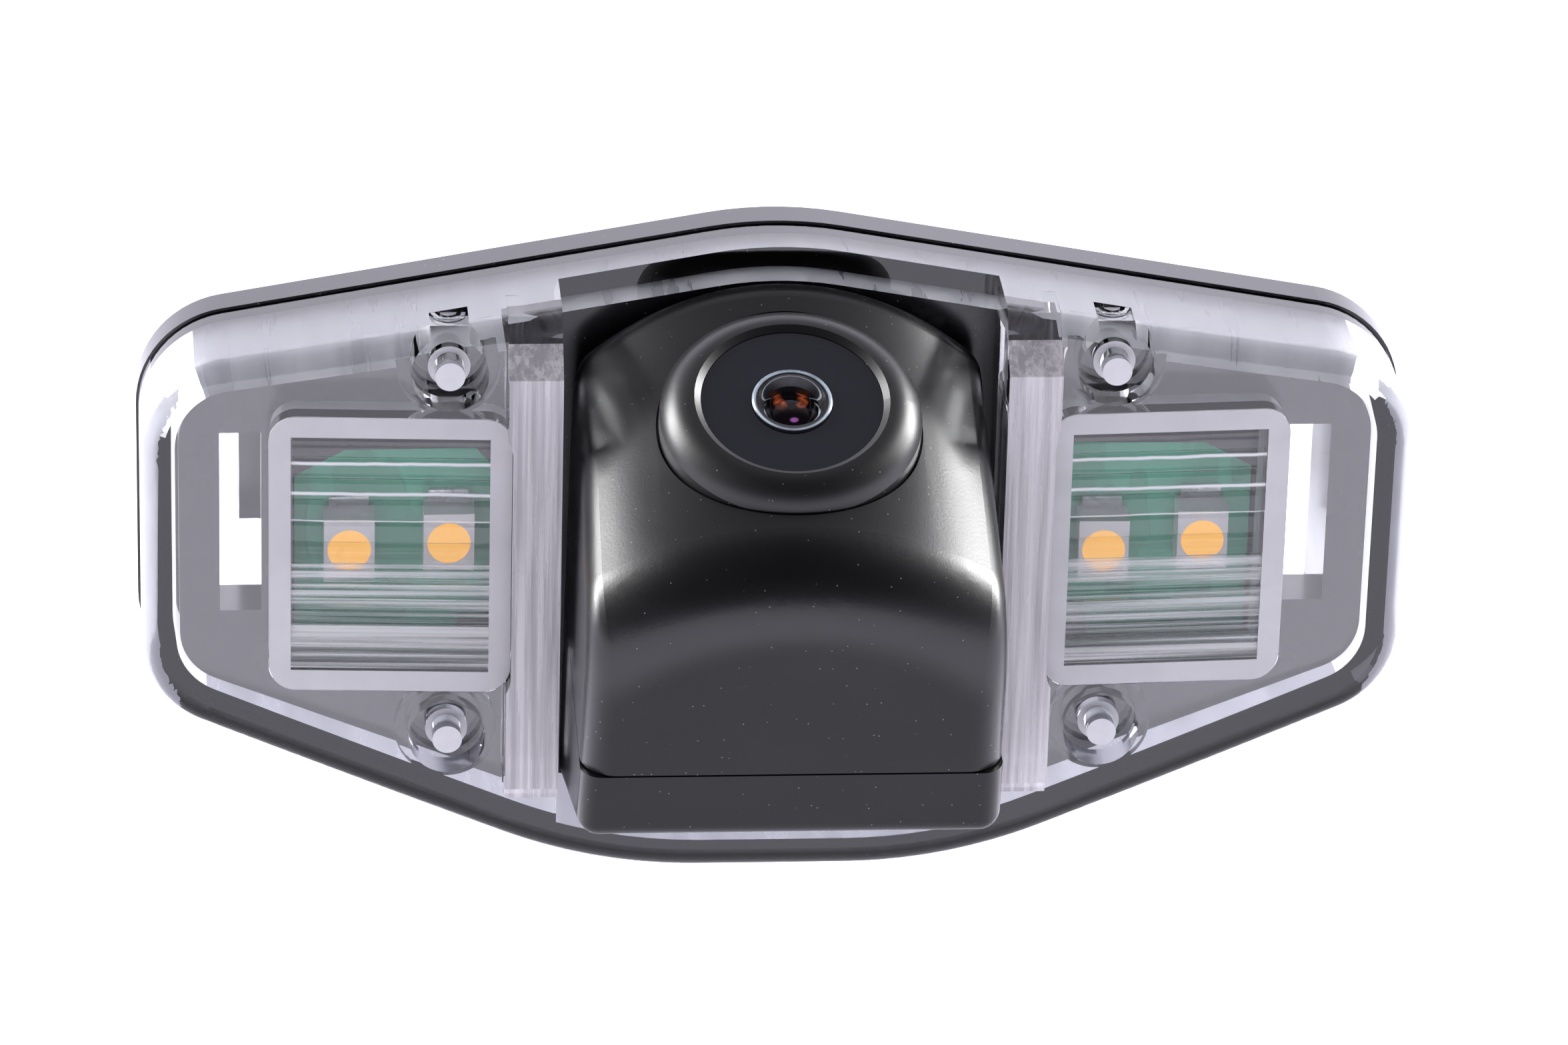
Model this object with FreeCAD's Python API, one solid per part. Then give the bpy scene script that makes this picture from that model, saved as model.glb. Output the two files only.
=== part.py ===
"""Number-plate lamp with a built-in reversing camera, as an assembly of separate pieces.

Millimetres. The lamp faces -Y, +Z is the edge that looks to the rear of the vehicle, and X runs
along the lamp. The origin is the centre of the gasket's sealing face, so everything with Y above
zero is inside the vehicle's panel.
"""
import FreeCAD, Part
import math
import os

from FreeCAD import Placement, Rotation, Vector

X_AXIS = Vector(1, 0, 0)
Y_AXIS = Vector(0, 1, 0)
Z_AXIS = Vector(0, 0, 1)

# The lamp's outline in the X-Z plane: sharp corners and the radius that rounds each one
APEX_Z = 18.45
APEX_ROUND = 21.5
END_X = 35.3
SHOULDER_Z = 12.28
SHOULDER_ROUND = 5.7
LOWER_END_X = 35.24
LOWER_END_Z = -7.64
LOWER_END_ROUND = 5.4
KEEL_X = 10.0
KEEL_Z = -17.73
KEEL_ROUND = 29.4
LAMP_REACH = 30

# Depths along Y of the base and the gasket
RIM_FRONT = -2.4
RIM_BACK = -0.3
GASKET_FRONT = -1.3
PLINTH_FRONT = -7.2
PLINTH_BACK = -3.8
PLINTH_INSET = 2.35
RIM_INSET = 4.5
GASKET_OUTER_INSET = 1.4
GASKET_INNER_INSET = 4.0
GASKET_CLEARANCE = 0.05
TUB_INSET = 6.5
TUB_HALF_WIDTH = 28.3
TUB_BACK = 13.6
TUB_WALL = 1.6
BAY_FLOOR_FRONT = -5.0
BAY_FLOOR_BACK = -3.2
BAY_FLOOR_HALF_WIDTH = 12.6
BAY_FLOOR_INSET = 4.0
BAY_LOW_Z = -15.2
WINDOW_HALF_WIDTH = 6.8
WINDOW_BOTTOM = -6.6
WINDOW_TOP = 6.0
BOSS_RADIUS = 2.0
PILOT_DEPTH = 9.0
WIRE_HOLE_X = 20.5
WIRE_HOLE_Z = -3.6
WIRE_HOLE_RADIUS = 1.2

# Clear outer lens
LENS_FRONT = -11.3
LENS_INSET = 0.15
LENS_WALL = 2.0
LENS_FACE = 1.8
LENS_FACE_RADIUS = 400.0
LENS_EDGE_ROUND = 1.4
LENS_BULGE = 2.2
BAY_HALF_WIDTH = 12.15
BAY_TOP_FRONT = -5.9
BAY_TOP_Z = 15.4
BAY_BOTTOM_Z = -15.6
NOTCH_BOTTOM_Z = 12.0
PILLAR_INNER_X = 12.15
PILLAR_OUTER_X = 15.1
PILLAR_FRONT = -12.7
PILLAR_TOP_Z = 15.2
PILLAR_BOTTOM_Z = -11.6
PILLAR_CLEARANCE = 0.1
PILLAR_HEAD_SLOPE = 2.2
PILLAR_HEAD_STEP = 1.4
PILLAR_HEAD_OVER = 0.6
PILLAR_HEAD_BACK = -10.3
PILLAR_FOOT_DEPTH = 4.6
PILLAR_FOOT_HEIGHT = 0.9

# Round wells in the clear face, each with a stepped moulding pin; the upper ones open upwards
# through a neck that has a ringed stub behind it
WELL_RADIUS = 2.13
WELL_DEPTH = 1.9
WELL_X = 18.25
WELL_TOP_Z = 12.6
WELL_BOTTOM_Z = -9.25
WELL_WALL = 0.7
WELL_FLOOR = 0.9
NECK_WIDTH = 2.1
NECK_BACK = -7.6
PIN_BASE_RADIUS = 1.17
PIN_BASE_HEIGHT = 0.6
PIN_TIP_RADIUS = 0.82
PIN_HEIGHT = 2.15
STUB_RADIUS = 0.95
STUB_BOTTOM_Z = 13.2
STUB_TOP_Z = 14.95
STUB_GROOVE_OUTER = 0.72
STUB_GROOVE_INNER = 0.45
STUB_GROOVE_DEPTH = 0.25

# Prism lenses in front of the lamps
PRISM_X = 21.45
PRISM_HALF_WIDTH = 6.65
PRISM_TOP = 10.0
PRISM_BOTTOM = -6.4
PRISM_FRAME = 1.2
PRISM_ROUND = 1.5
PRISM_PLATE = 1.6
PRISM_RIB_HEIGHT = 0.28
PRISM_RIB_CREST = 0.02
PRISM_RIB_LEAN = 0.12
PRISM_TILT = 3.1
PRISM_RIBS = 11
PRISM_GAP = 0.04
PRISM_FOOT_GAP = 0.5

# Lamp boards and their light-emitting diodes
BOARD_THICK = 1.0
BOARD_FRONT = -6.4
BOARD_INNER_X = 15.6
BOARD_OUTER_X = 26.6
BOARD_TOP = 6.1
BOARD_BOTTOM = -5.8
BOARD_POCKET_GAP = 0.25
BOARD_OUTER_CUT = (3.0, 1.6)
BOARD_INNER_CUT = (1.2, 1.4)
LED_PLACES = [(-23.6, 0.75), (-18.1, 1.05), (18.3, 0.25), (23.8, 0.85)]
LED_WIDTH = 2.8
LED_HEIGHT = 3.5
LED_THICK = 1.5
LED_CUP_RADIUS = 1.2
LED_CUP_DEPTH = 0.5
FILL_GAP = 0.01
FILL_DROP = 0.04
PAD_HALF_X = 1.1
PAD_HALF_Z = 0.33
PAD_STEP = 0.35
PAD_THICK = 0.25
RESISTOR_X = 16.6
RESISTOR_HALF_X = 1.0
RESISTOR_BOTTOM = -5.6
RESISTOR_TOP = -4.35
RESISTOR_THICK = 0.55

# End slots in the base and the two catches behind them
SLOT_INNER_X = 28.4
SLOT_OUTER_X = 30.7
SLOT_BOTTOM = -2.7
SLOT_TOP = 8.0
CATCH_FRONT = 1.4
CATCH_BACK = 4.8
CATCH_REACH = 1.2
CATCH_BOTTOM = -1.0
CATCH_TOP = 5.0
CATCH_LAND = 0.5
CATCH_ROOT = 0.2
LATCH_ROOT_Y = 11.0
LATCH_THICK = 1.2
LATCH_TIP_Y = -1.2
LATCH_GAP = 0.4
LATCH_SOCKET_GAP = 0.08

# Camera hump: the eye face slopes by EYE_TILT below the level, and its centre is EYE
EYE = Vector(0, -15.3, 11.93)
EYE_TILT = 26.1
HUMP_HALF_WIDTH = 11.4
HUMP_TAPER = 0.02
HUMP_BACK = -5.0
HUMP_WALL = 1.6
HUMP_UPHILL = 10.35
HUMP_DOWNHILL = 12.6
HUMP_ARCH_RADIUS = 26.0
HUMP_SEAM = Vector(0, -22.5, -6.0)
HUMP_TOE = Vector(0, -21.4, -10.2)
HUMP_HEEL_Z = -14.9
HUMP_CREST_ROUND = 5.2
HUMP_TOE_ROUND = 1.2
HUMP_EDGE_ROUND = 2.0
CAP_EDGE_ROUND = 1.2
HUMP_INNER_ROUND = 1.0
HUMP_CROWN_RADIUS = 18.0
HUMP_CROWN_LIFT = 0.35
HUMP_REACH = 20
SEAM_RISE = 8.0
SEAM_GAP = 0.12
CAP_LIP_INSET = 1.7
CAP_LIP_WALL = 0.7
CAP_LIP_HEIGHT = 1.5
CAP_LIP_DROP = 1.0

# Eye: bezel, disc, retaining ring and lens stack, as radius and height along the eye's axis
BEZEL_RADIUS = 7.13
BEZEL_RIM_RADIUS = 4.95
BEZEL_RISE = 1.5
BEZEL_SEAT = -1.6
BEZEL_LEDGE = 2.0
BEZEL_WALL = 0.9
BEZEL_GAP = 0.13
BEZEL_CROWN = 0.35
BEZEL_BULGE = (6.6, 0.98)
BEZEL_FOOT = 0.1
BEZEL_LIP = 0.25
EYE_BORE_RADIUS = 6.25
DISC_TOP = 1.2
DISC_THICK = 0.9
RING_RADIUS = 2.19
RING_HOLE_RADIUS = 1.83
RING_TOP = 1.42
RING_BACK = 0.27
RING_LEDGE = 0.35
RING_BEVEL = 0.1
RING_FUNNEL = 0.65
RING_GAP = 0.03
BARREL_RADIUS = 3.6
BARREL_BORE_RADIUS = 2.8
BARREL_TOP = 0.25
BARREL_END = -8.0
BARREL_LEDGE = -0.85
BARREL_THROAT = -2.0
BARREL_THROAT_RADIUS = 1.1
SPIGOT_END = -2.4
SPIGOT_RADIUS = 6.2
EYE_SEAL_END = -3.4
EYE_SEAL_TOP = -2.45
FRONT_GLASS_RADIUS = 1.45
FRONT_GLASS_EDGE = 0.3
FRONT_GLASS_DOME = 0.5
GLASS_GAP = 0.02
INNER_GLASS_RADIUS = 2.78
MIDDLE_GLASS = (-3.6, -2.9, 0.8)
REAR_GLASS = (-6.3, -5.4, 0.7)
SPACER_END = -4.5
SPACER_TOP = -3.62
SPACER_BORE_RADIUS = 2.2
HOLDER_HALF = 5.2
HOLDER_SHOULDER = -7.0
HOLDER_TOP = -4.0
HOLDER_WALL = 1.1
HOLDER_CAVITY_HALF = 4.0
HOLDER_CAVITY_TOP = -8.6
HOLDER_HOLE_RADIUS = 2.6
FILTER_HALF = 3.2
FILTER_BACK = -8.95
FILTER_FRONT = -8.62
SENSOR_HALF = 3.4
SENSOR_THICK = 0.75
SENSOR_BOARD_FRONT = -10.0
SENSOR_BOARD_THICK = 1.0
SENSOR_BOARD_HALF_X = 7.9
SENSOR_BOARD_HALF_Y = 6.0
SENSOR_SCREW_PLACES = [(6.7, -4.0), (-6.7, 4.0)]
SENSOR_SCREW_RADIUS = 0.6
SENSOR_SCREW_HEAD = 1.15
SENSOR_SCREW_HEAD_THICK = 0.75
SENSOR_POST_RADIUS = 1.4
CHIP_THICK = 0.8
SMALL_CHIP_THICK = 0.7
CAPACITOR_XS = [-4.8, -3.4, 3.0, 4.4]
CONNECTOR_HEIGHT = 3.2

# Rear cover, its seal and the cable gland
COVER_THICK = 1.6
COVER_CHAMFER = 0.4
COVER_LIP_WALL = 1.0
COVER_GAP = 0.1
GLAND_X = 12.0
GLAND_Z = 1.0
GLAND_BORE = 2.25
GLAND_NECK = 3.6
GLAND_FLANGE = 4.8
GLAND_FLANGE_THICK = 1.4
GLAND_NOSE_BASE = 3.9
GLAND_NOSE_TIP = 3.1
GLAND_NOSE_LENGTH = 9.0
GLAND_LENGTH = 12.0
GLAND_GROOVES = 3
GLAND_GROOVE_START = 2.6
GLAND_GROOVE_PITCH = 2.1
GLAND_GROOVE_WIDTH = 0.8
GLAND_GROOVE_RADIUS = 2.95
COVER_SCREW_PLACES = [(-22.0, 5.6), (-22.0, -3.4), (22.0, 5.6), (22.0, -3.4)]
HUMP_SCREW_PLACES = [(-8.8, 7.0), (8.8, 7.0), (-8.8, -7.0), (8.8, -7.0)]
LIP_DEPTH = 1.2
HUMP_BOSS_RADIUS = 1.5
HUMP_BOSS_LENGTH = 6.0
HUMP_BOSS_WEB = 0.6
SCREW_RADIUS = 0.75
SCREW_HEAD_RADIUS = 1.4
SCREW_HEAD_HEIGHT = 0.9
SCREW_HEAD_ROUND = 0.3
SCREW_CROSS_LONG = 0.8
SCREW_CROSS_NARROW = 0.18
SCREW_CROSS_DEPTH = 0.5
SCREW_CLEARANCE = 0.1
SCREW_REACH = 6.0


def box(low, high):
    """A box between two opposite corners."""
    size = [b - a for a, b in zip(low, high)]
    return Part.makeBox(*size, Vector(*low))


def rod(x, z, radius, front, back):
    """A round rod along Y."""
    return Part.makeCylinder(radius, back - front, Vector(x, front, z), Y_AXIS)


def fuse(shapes):
    """The shapes joined into one, with the lines between coplanar faces removed."""
    whole = shapes[0].multiFuse(shapes[1:]) if len(shapes) > 1 else shapes[0]
    return whole.removeSplitter()


def rounded_wire(corners):
    """A closed wire through (point, radius) corners, with an arc of that radius at each."""
    count = len(corners)
    spans = []
    for i, (corner, radius) in enumerate(corners):
        before = (corners[i - 1][0] - corner).normalize()
        after = (corners[(i + 1) % count][0] - corner).normalize()
        if radius <= 0:
            spans.append((corner, None, corner))
            continue
        half = before.getAngle(after) / 2
        start = corner + before * (radius / math.tan(half))
        end = corner + after * (radius / math.tan(half))
        inward = (before + after).normalize()
        middle = corner + inward * (radius / math.sin(half) - radius)
        spans.append((start, middle, end))
    edges = []
    for i, (start, middle, end) in enumerate(spans):
        if middle is not None:
            edges.append(Part.Arc(start, middle, end).toShape())
        next_start = spans[(i + 1) % count][0]
        edges.append(Part.LineSegment(end, next_start).toShape())
    return Part.Wire(edges)


def lamp_wire(inset, y):
    """The lamp's outline moved inwards, in the plane at y."""
    half = [
        (END_X, SHOULDER_Z, SHOULDER_ROUND),
        (LOWER_END_X, LOWER_END_Z, LOWER_END_ROUND),
        (KEEL_X, KEEL_Z, KEEL_ROUND),
    ]
    points = [(0, APEX_Z, APEX_ROUND)] + half + [(-x, z, r) for x, z, r in reversed(half)]
    wire = rounded_wire([(Vector(x, y, z), r) for x, z, r in points])
    return wire.makeOffset2D(-inset) if inset else wire


def lamp_slab(inset, front, back):
    """A plate of the lamp's outline, moved inwards, between two depths."""
    return Part.Face(lamp_wire(inset, front)).extrude(Vector(0, back - front, 0))


def tub_slab(inset, half_width, front, back):
    """The outline of the part that goes through the panel: the lamp's outline with its ends cut off."""
    ends = box((-half_width, front, -LAMP_REACH), (half_width, back, LAMP_REACH))
    return lamp_slab(inset, front, back).common(ends)


def catch(side):
    """The wedge behind the panel's edge, with its shoulder towards the panel."""
    wall = side * TUB_HALF_WIDTH
    tip = side * (TUB_HALF_WIDTH + CATCH_REACH)
    root = side * (TUB_HALF_WIDTH - CATCH_ROOT)
    corners = [
        Vector(root, CATCH_FRONT, CATCH_BOTTOM),
        Vector(tip, CATCH_FRONT, CATCH_BOTTOM),
        Vector(tip, CATCH_FRONT + CATCH_LAND, CATCH_BOTTOM),
        Vector(wall, CATCH_BACK, CATCH_BOTTOM),
        Vector(root, CATCH_BACK, CATCH_BOTTOM),
    ]
    face = Part.Face(Part.makePolygon(corners + corners[:1]))
    return face.extrude(Vector(0, 0, CATCH_TOP - CATCH_BOTTOM))


def board_corners(side, gap, y):
    """Corners of a lamp board with its two upper corners cut off."""
    inner = BOARD_INNER_X - gap
    outer = BOARD_OUTER_X + gap
    top = BOARD_TOP + gap
    bottom = BOARD_BOTTOM - gap
    outline = [
        (inner, bottom),
        (outer, bottom),
        (outer, top - BOARD_OUTER_CUT[1]),
        (outer - BOARD_OUTER_CUT[0], top),
        (inner + BOARD_INNER_CUT[0], top),
        (inner, top - BOARD_INNER_CUT[1]),
    ]
    points = [Vector(side * x, y, z) for x, z in outline]
    return Part.Face(Part.makePolygon(points + points[:1]))


def housing_body():
    """Rim, plinth and tub in one, with the groove for the gasket."""
    rim = lamp_slab(0, RIM_FRONT, RIM_BACK)
    plinth = lamp_slab(PLINTH_INSET, PLINTH_FRONT, RIM_FRONT)
    tub = tub_slab(TUB_INSET, TUB_HALF_WIDTH, PLINTH_BACK, TUB_BACK)
    moat = lamp_slab(RIM_INSET, PLINTH_BACK, RIM_BACK)
    inner_half = TUB_HALF_WIDTH - TUB_WALL
    hollow = tub_slab(TUB_INSET + TUB_WALL, inner_half, PLINTH_BACK, TUB_BACK)
    body = fuse([fuse([rim, plinth]).cut(moat), tub]).cut(hollow)
    groove = lamp_slab(GASKET_OUTER_INSET, GASKET_FRONT, 0)
    return body.cut(groove.cut(lamp_slab(GASKET_INNER_INSET, GASKET_FRONT, 0)))


def with_camera_bay(body):
    """Sinks the camera bay below the plinth, with a floor that has a window into the tub."""
    front = PLINTH_FRONT - 1
    bay = box((-BAY_HALF_WIDTH, front, BAY_LOW_Z), (BAY_HALF_WIDTH, BAY_FLOOR_FRONT, LAMP_REACH))
    half = BAY_FLOOR_HALF_WIDTH
    floor = lamp_slab(BAY_FLOOR_INSET, BAY_FLOOR_FRONT, BAY_FLOOR_BACK)
    floor = floor.common(box((-half, front, -LAMP_REACH), (half, TUB_BACK, LAMP_REACH)))
    window = box(
        (-WINDOW_HALF_WIDTH, BAY_FLOOR_FRONT - 1, WINDOW_BOTTOM),
        (WINDOW_HALF_WIDTH, BAY_FLOOR_BACK + 1, WINDOW_TOP),
    )
    return fuse([body.cut(bay), floor]).cut(window)


def with_end_openings(body, side):
    """Cuts one end's slot, the pocket of its lamp board and the hole for the board's wires."""
    inner, outer = sorted((side * SLOT_INNER_X, side * SLOT_OUTER_X))
    body = body.cut(box((inner, PLINTH_FRONT - 1, SLOT_BOTTOM), (outer, RIM_BACK + 1, SLOT_TOP)))
    pocket = board_corners(side, BOARD_POCKET_GAP, PLINTH_FRONT)
    depth = BOARD_FRONT + BOARD_THICK - PLINTH_FRONT
    body = body.cut(pocket.extrude(Vector(0, depth, 0)))
    x = side * WIRE_HOLE_X
    return body.cut(rod(x, WIRE_HOLE_Z, WIRE_HOLE_RADIUS, PLINTH_FRONT, PLINTH_BACK + 0.5))


def with_latch_doorway(body):
    """Opens the left end wall for the springing arm and its rounded root."""
    left = -TUB_HALF_WIDTH
    low_z = CATCH_BOTTOM - LATCH_GAP
    high_z = CATCH_TOP + LATCH_GAP
    inner = left + TUB_WALL + LATCH_GAP / 4
    doorway = box((left - 1, PLINTH_BACK, low_z), (inner, LATCH_ROOT_Y, high_z))
    centre = Vector(left + LATCH_THICK / 2, LATCH_ROOT_Y, low_z)
    radius = LATCH_THICK / 2 + LATCH_SOCKET_GAP
    return body.cut(doorway).cut(Part.makeCylinder(radius, high_z - low_z, centre, Z_AXIS))


def make_base_housing():
    """Rim, raised plinth under the clear lens, and the tub that goes through the panel."""
    body = with_camera_bay(housing_body())
    places = COVER_SCREW_PLACES
    boss_end = TUB_BACK - LIP_DEPTH
    body = fuse([body] + [rod(x, z, BOSS_RADIUS, PLINTH_BACK, boss_end) for x, z in places])
    for x, z in places:
        body = body.cut(rod(x, z, SCREW_RADIUS, TUB_BACK - PILOT_DEPTH, TUB_BACK))
    radius = SCREW_RADIUS + SCREW_CLEARANCE
    for x, z in HUMP_SCREW_PLACES:
        body = body.cut(rod(x, z, radius, BAY_FLOOR_FRONT - 1, BAY_FLOOR_BACK + 1))
    body = with_end_openings(with_end_openings(body, -1), 1)
    return with_latch_doorway(fuse([body, catch(1)]))


def make_latch_arm():
    """Springing arm with the left catch, from its rounded root to the finger tip."""
    left = -TUB_HALF_WIDTH
    width = CATCH_TOP - CATCH_BOTTOM
    arm = box((left, LATCH_TIP_Y, CATCH_BOTTOM), (left + LATCH_THICK, LATCH_ROOT_Y, CATCH_TOP))
    centre = Vector(left + LATCH_THICK / 2, LATCH_ROOT_Y, CATCH_BOTTOM)
    root = Part.makeCylinder(LATCH_THICK / 2, width, centre, Z_AXIS)
    return fuse([arm, root, catch(-1)])


def make_panel_gasket():
    """Soft ring in the rim's groove."""
    ring = lamp_slab(GASKET_OUTER_INSET + GASKET_CLEARANCE, GASKET_FRONT, 0)
    return ring.cut(lamp_slab(GASKET_INNER_INSET - GASKET_CLEARANCE, GASKET_FRONT, 0))


def domed(inset, front, back):
    """A slab of the lamp's outline whose front bulges as a wide cylinder about Z."""
    slab = lamp_slab(inset, front, back)
    foot = Vector(0, front + LENS_FACE_RADIUS, -LAMP_REACH)
    bulge = Part.makeCylinder(LENS_FACE_RADIUS, 2 * LAMP_REACH, foot, Z_AXIS)
    return slab.common(bulge)


def face_y(x):
    """Depth of the bulging face at x."""
    return LENS_FRONT + LENS_FACE_RADIUS - math.sqrt(LENS_FACE_RADIUS**2 - x**2)


def pillar(side):
    """Clear wall beside the camera bay, proud of the face, with a bevelled head and a foot."""
    back = PLINTH_FRONT - PILLAR_CLEARANCE
    profile = [
        (back, PILLAR_BOTTOM_Z),
        (PILLAR_FRONT, PILLAR_BOTTOM_Z),
        (PILLAR_FRONT, PILLAR_TOP_Z - PILLAR_HEAD_SLOPE),
        (PILLAR_FRONT + PILLAR_HEAD_STEP, PILLAR_TOP_Z - PILLAR_HEAD_OVER),
        (PILLAR_HEAD_BACK, PILLAR_TOP_Z + PILLAR_HEAD_OVER),
        (back, PILLAR_TOP_Z + PILLAR_HEAD_OVER),
    ]
    points = [Vector(side * PILLAR_INNER_X, y, z) for y, z in profile]
    face = Part.Face(Part.makePolygon(points + points[:1]))
    wall = face.extrude(Vector(side * (PILLAR_OUTER_X - PILLAR_INNER_X), 0, 0))
    low_x, high_x = sorted((side * PILLAR_INNER_X, side * PILLAR_OUTER_X))
    low = (low_x, back - PILLAR_FOOT_DEPTH, PILLAR_BOTTOM_Z - PILLAR_FOOT_HEIGHT)
    foot = box(low, (high_x, back, PILLAR_BOTTOM_Z))
    return fuse([wall, foot])


def well_places():
    """(x, z, is an upper one) of the four wells."""
    return [(side * WELL_X, z, z > 0) for side in (-1, 1) for z in (WELL_TOP_Z, WELL_BOTTOM_Z)]


def neck_stub(x):
    """Upright round stub behind an upper well's neck, with a ring groove in its top."""
    foot = Vector(x, NECK_BACK, STUB_BOTTOM_Z)
    stub = Part.makeCylinder(STUB_RADIUS, STUB_TOP_Z - STUB_BOTTOM_Z, foot)
    ring_foot = Vector(x, NECK_BACK, STUB_TOP_Z - STUB_GROOVE_DEPTH)
    ring = Part.makeCylinder(STUB_GROOVE_OUTER, 1, ring_foot)
    return stub.cut(ring.cut(Part.makeCylinder(STUB_GROOVE_INNER, 1, ring_foot)))


def with_well(tray, x, z, upper):
    """Sinks one well into the face, with its neck and stub if it is an upper one, and its pin."""
    floor = face_y(x) + WELL_DEPTH
    ahead = PILLAR_FRONT - 1
    tray = tray.cut(rod(x, z, WELL_RADIUS, ahead, floor))
    if upper:
        half = NECK_WIDTH / 2
        tray = tray.cut(box((x - half, ahead, z), (x + half, floor, LAMP_REACH)))
        deep = z + WELL_RADIUS
        tray = tray.cut(box((x - half, ahead, deep), (x + half, NECK_BACK, LAMP_REACH)))
        tray = fuse([tray, neck_stub(x)])
    base = rod(x, z, PIN_BASE_RADIUS, floor - PIN_BASE_HEIGHT, floor + 0.2)
    return fuse([tray, base, rod(x, z, PIN_TIP_RADIUS, floor - PIN_HEIGHT, floor)])


def make_outer_lens():
    """Clear tray over the base: rounded hexagon face, side wall, camera bay, pillars and wells."""
    outer = domed(LENS_INSET, LENS_FRONT, RIM_FRONT)
    front_edges = [e for e in outer.Edges if e.BoundBox.YMax < LENS_FRONT + LENS_BULGE]
    outer = outer.makeFillet(LENS_EDGE_ROUND, front_edges)
    inner_outline = LENS_INSET + LENS_WALL
    tray = outer.cut(domed(inner_outline, LENS_FRONT + LENS_FACE, RIM_FRONT))
    for x, z, _ in well_places():
        back = face_y(x) + WELL_DEPTH + WELL_FLOOR
        boss = rod(x, z, WELL_RADIUS + WELL_WALL, face_y(x) + LENS_FACE / 4, back)
        tray = fuse([tray, boss.common(outer)])
    half = BAY_HALF_WIDTH
    bay = box((-half, -LAMP_REACH, BAY_BOTTOM_Z), (half, RIM_FRONT, BAY_TOP_Z))
    notch = box((-half, -LAMP_REACH, NOTCH_BOTTOM_Z), (half, BAY_TOP_FRONT, LAMP_REACH))
    tray = tray.cut(bay.common(lamp_slab(inner_outline, -LAMP_REACH, RIM_FRONT))).cut(notch)
    tray = fuse([tray, pillar(-1), pillar(1)])
    for side in (-1, 1):
        tray = tray.cut(lamp_placed(prism_block(PRISM_GAP, -3, 5), side))
    for x, z, upper in well_places():
        tray = with_well(tray, x, z, upper)
    return tray


def prism_block(gap, front, back):
    """Block with rounded corners, about the middle of a lamp window, grown by a gap."""
    half = PRISM_HALF_WIDTH + gap
    low = PRISM_BOTTOM - gap
    high = PRISM_TOP + gap
    corners = [(-half, low), (half, low), (half, high), (-half, high)]
    outside = rounded_wire([(Vector(x, front, z), PRISM_ROUND + gap) for x, z in corners])
    return Part.Face(outside).extrude(Vector(0, back - front, 0))


def lamp_placed(shape, side):
    """Moves a shape built about a lamp window's middle to its side, square to the bulging face."""
    place = Vector(side * PRISM_X, face_y(PRISM_X), 0)
    shape.Placement = Placement(place, Rotation(Z_AXIS, side * PRISM_TILT))
    return shape


def make_prism_lens(side):
    """Frame with rounded corners around a plate with level ribs on its front."""
    half = PRISM_HALF_WIDTH
    front = 0.0
    back = PLINTH_FRONT - face_y(PRISM_X) - PRISM_FOOT_GAP
    block = prism_block(0, front, back)
    wall = PRISM_FRAME
    hollow = box(
        (-half + wall, PRISM_PLATE, PRISM_BOTTOM + wall),
        (half - wall, back, PRISM_TOP - wall),
    )
    block = block.cut(hollow)
    recess = box(
        (-half + wall, front, PRISM_BOTTOM + wall),
        (half - wall, PRISM_RIB_HEIGHT, PRISM_TOP - wall),
    )
    block = block.cut(recess)
    span = PRISM_TOP - PRISM_BOTTOM - 2 * wall
    pitch = span / PRISM_RIBS
    ribs = []
    for i in range(PRISM_RIBS):
        low = PRISM_BOTTOM + wall + i * pitch
        points = [
            Vector(-half + wall, PRISM_RIB_HEIGHT, low),
            Vector(-half + wall, PRISM_RIB_CREST, low + pitch * PRISM_RIB_LEAN),
            Vector(-half + wall, PRISM_RIB_HEIGHT, low + pitch),
        ]
        face = Part.Face(Part.makePolygon(points + points[:1]))
        ribs.append(face.extrude(Vector(2 * (half - wall), 0, 0)))
    return lamp_placed(fuse([block] + ribs), side)


def make_led_board(side):
    """Lamp board in its pocket."""
    plate = board_corners(side, 0, BOARD_FRONT)
    return plate.extrude(Vector(0, BOARD_THICK, 0))


def make_led_bodies():
    """White packages, each with a round cup."""
    bodies = []
    top = BOARD_FRONT - LED_THICK
    for x, z in LED_PLACES:
        low = (x - LED_WIDTH / 2, top, z - LED_HEIGHT / 2)
        high = (x + LED_WIDTH / 2, BOARD_FRONT, z + LED_HEIGHT / 2)
        cup = rod(x, z, LED_CUP_RADIUS, top, top + LED_CUP_DEPTH)
        bodies.append(box(low, high).cut(cup))
    return Part.makeCompound(bodies)


def make_led_phosphors():
    """Yellow filling of each cup."""
    top = BOARD_FRONT - LED_THICK
    fills = []
    for x, z in LED_PLACES:
        fills.append(rod(x, z, LED_CUP_RADIUS - FILL_GAP, top + FILL_DROP, top + LED_CUP_DEPTH))
    return Part.makeCompound(fills)


def make_led_solder_pads():
    """Tinned pads above and below each package."""
    pads = []
    for x, z in LED_PLACES:
        for step in (-1, 1):
            mid = z + step * (LED_HEIGHT / 2 + PAD_STEP)
            low = (x - PAD_HALF_X, BOARD_FRONT - PAD_THICK, mid - PAD_HALF_Z)
            pads.append(box(low, (x + PAD_HALF_X, BOARD_FRONT, mid + PAD_HALF_Z)))
    return Part.makeCompound(pads)


def make_led_resistors():
    """One chip resistor on each lamp board, low down beside the wire hole."""
    chips = []
    for side in (-1, 1):
        x = side * RESISTOR_X
        low = (x - RESISTOR_HALF_X, BOARD_FRONT - RESISTOR_THICK, RESISTOR_BOTTOM)
        chips.append(box(low, (x + RESISTOR_HALF_X, BOARD_FRONT, RESISTOR_TOP)))
    return Part.makeCompound(chips)


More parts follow.
